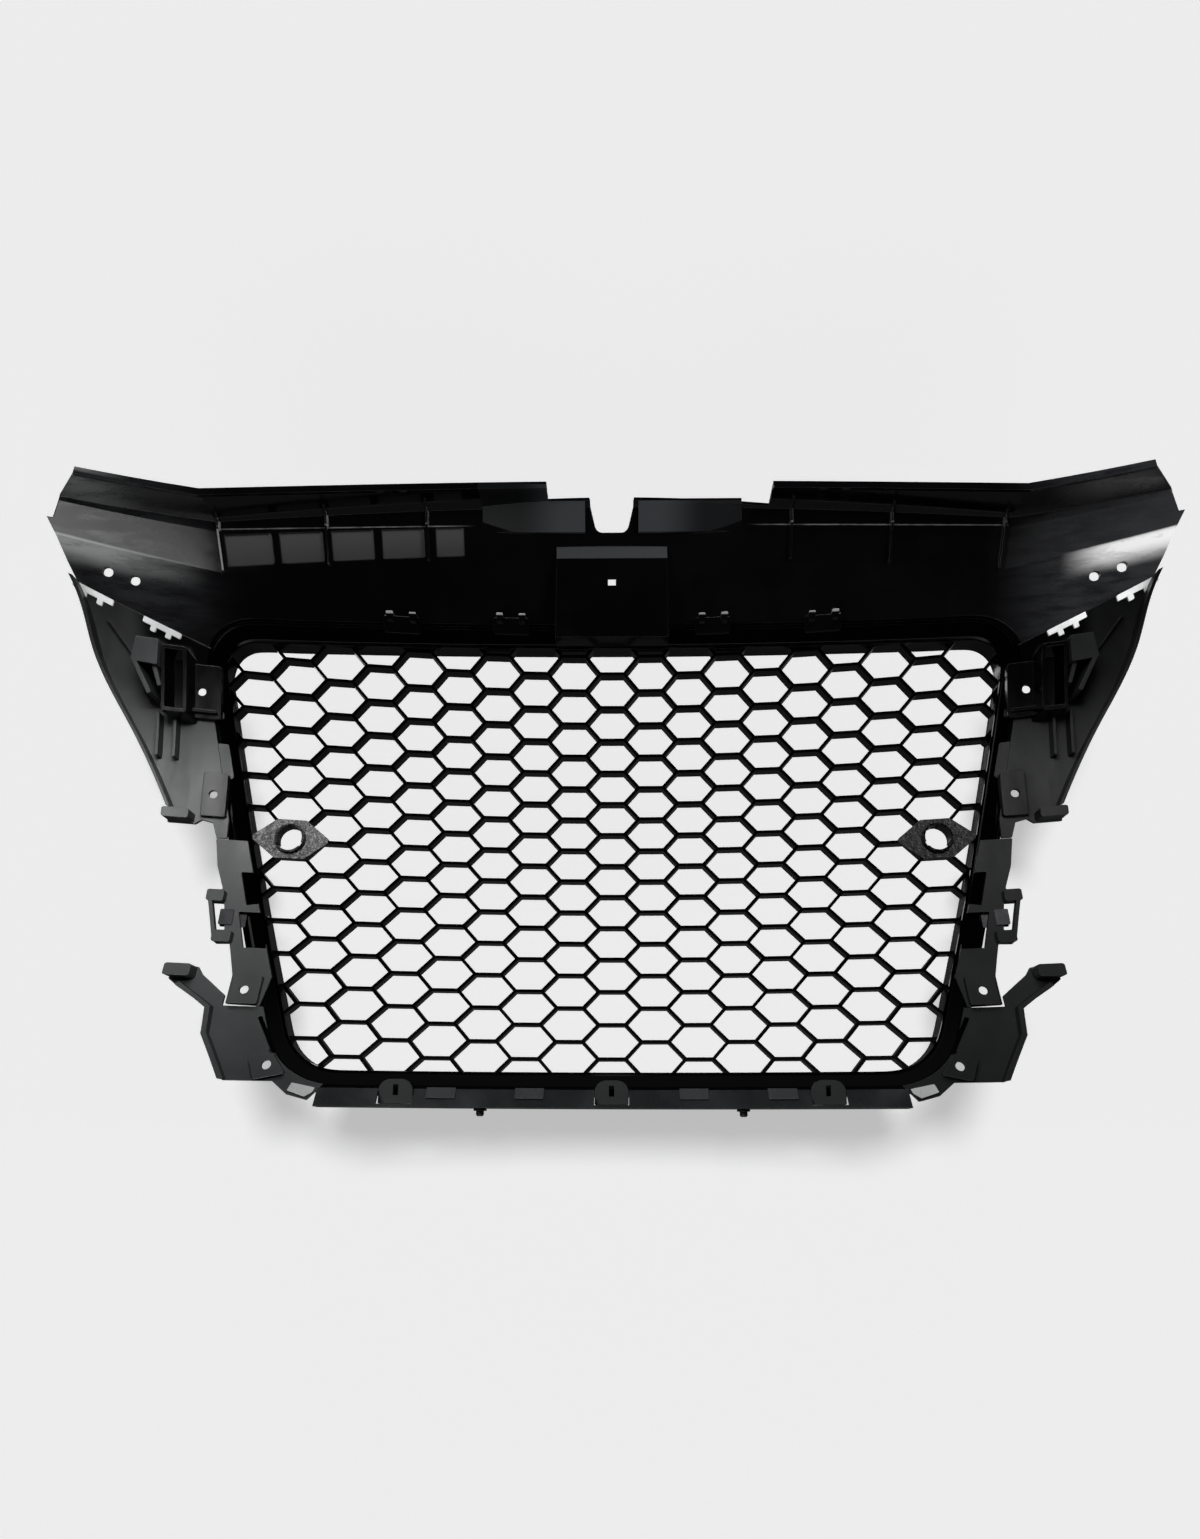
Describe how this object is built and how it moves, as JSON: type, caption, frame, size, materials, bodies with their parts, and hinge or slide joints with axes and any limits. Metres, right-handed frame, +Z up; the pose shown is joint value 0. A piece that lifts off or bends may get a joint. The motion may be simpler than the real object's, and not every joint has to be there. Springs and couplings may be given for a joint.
{
  "type": "vehicle front grille",
  "caption": "Front grille for a car: domed honeycomb insert in a black ring, gloss cross panel above, satin side brackets with screw points, sensor holders and clips.",
  "frame": {"origin": "centre of the bounding box of the whole grille", "axes": "+Z up as fitted, +X to the vehicle's left, +Y to the rear of the vehicle; the show face looks along -Y"},
  "size_m": [0.9366, 0.2302, 0.5328],
  "materials": {
    "panel_gloss_black": "polished, piano black",
    "mesh_gloss_black": "gloss",
    "ring_black": "semi-gloss",
    "bracket_satin_grey": "satin",
    "holder_matte_black": "matte, fine grain",
    "clip_metal": "bright, zinc plated",
    "clip_dark_metal": "phosphated",
    "trim_black": "satin"
  },
  "bodies": {
    "root": {"bezel_ring": "panel_gloss_black", "bottom_rail": "bracket_satin_grey", "carrier_ring": "ring_black", "centre_box": "ring_black", "edge_clips": "clip_dark_metal", "honeycomb_mesh": "mesh_gloss_black", "lamp_bracket_left": "bracket_satin_grey", "lamp_bracket_right": "bracket_satin_grey", "lamp_hook_left": "bracket_satin_grey", "lamp_hook_right": "bracket_satin_grey", "locating_pegs": "trim_black", "lower_corner_left": "bracket_satin_grey", "lower_corner_right": "bracket_satin_grey", "rail_clips": "clip_metal", "seam_clips": "clip_metal", "sensor_holder_left": "holder_matte_black", "sensor_holder_right": "holder_matte_black", "side_strip_left": "bracket_satin_grey", "side_strip_right": "bracket_satin_grey", "side_wing_left": "bracket_satin_grey", "side_wing_right": "bracket_satin_grey", "snap_hooks_top": "trim_black", "upper_panel": "panel_gloss_black"}
  },
  "joints": []
}
